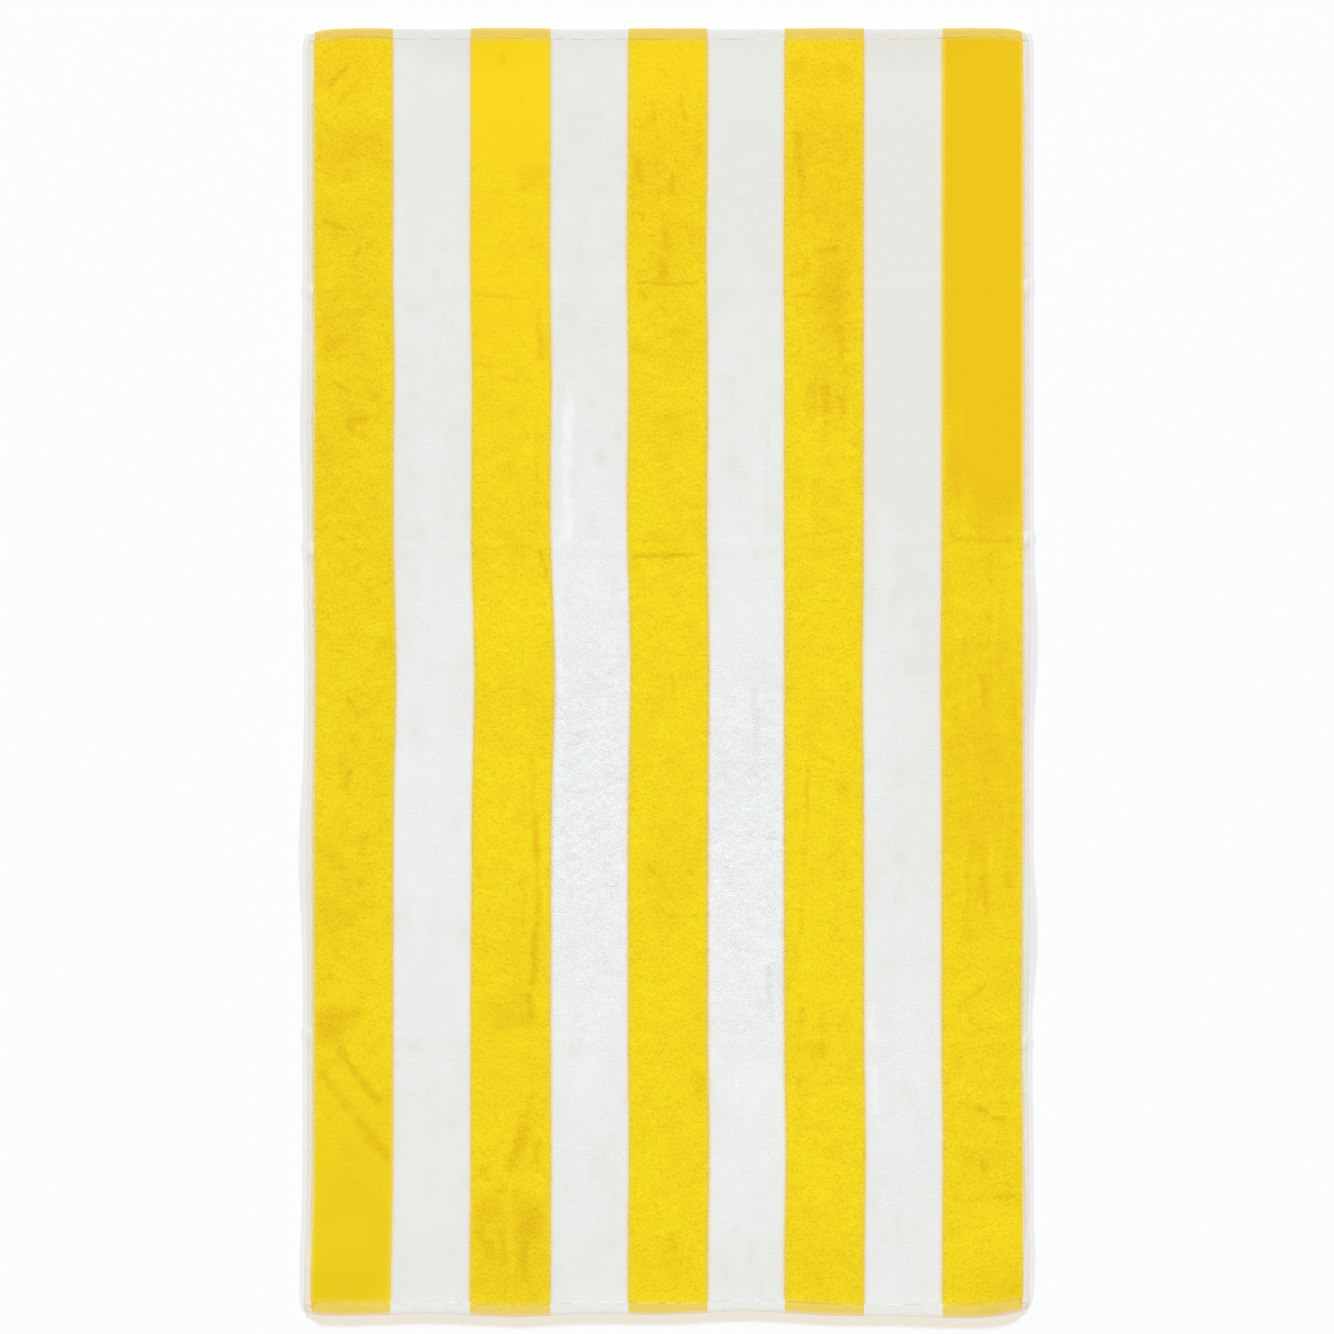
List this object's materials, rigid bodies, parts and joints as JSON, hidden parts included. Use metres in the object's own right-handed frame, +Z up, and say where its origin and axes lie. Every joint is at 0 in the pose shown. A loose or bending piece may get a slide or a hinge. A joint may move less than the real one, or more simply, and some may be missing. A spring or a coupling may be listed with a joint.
{
  "type": "beach towel",
  "caption": "Flat rectangular beach towel with a pile face, wide lengthwise stripes, narrow flat-woven hems and thin selvedges, lying spread out with faint fold creases",
  "frame": {"origin": "centre of the bounding box at its base: the middle of the spread towel, on the surface it lies on", "axes": "+X across the stripes, +Y along them towards the end that is up in the picture, +Z up out of the pile face"},
  "size_m": [0.903, 1.604, 0.0062],
  "materials": {
    "towelling": "sheared cotton pile, matt"
  },
  "bodies": {
    "root": {"beach_towel": "towelling"}
  },
  "joints": []
}
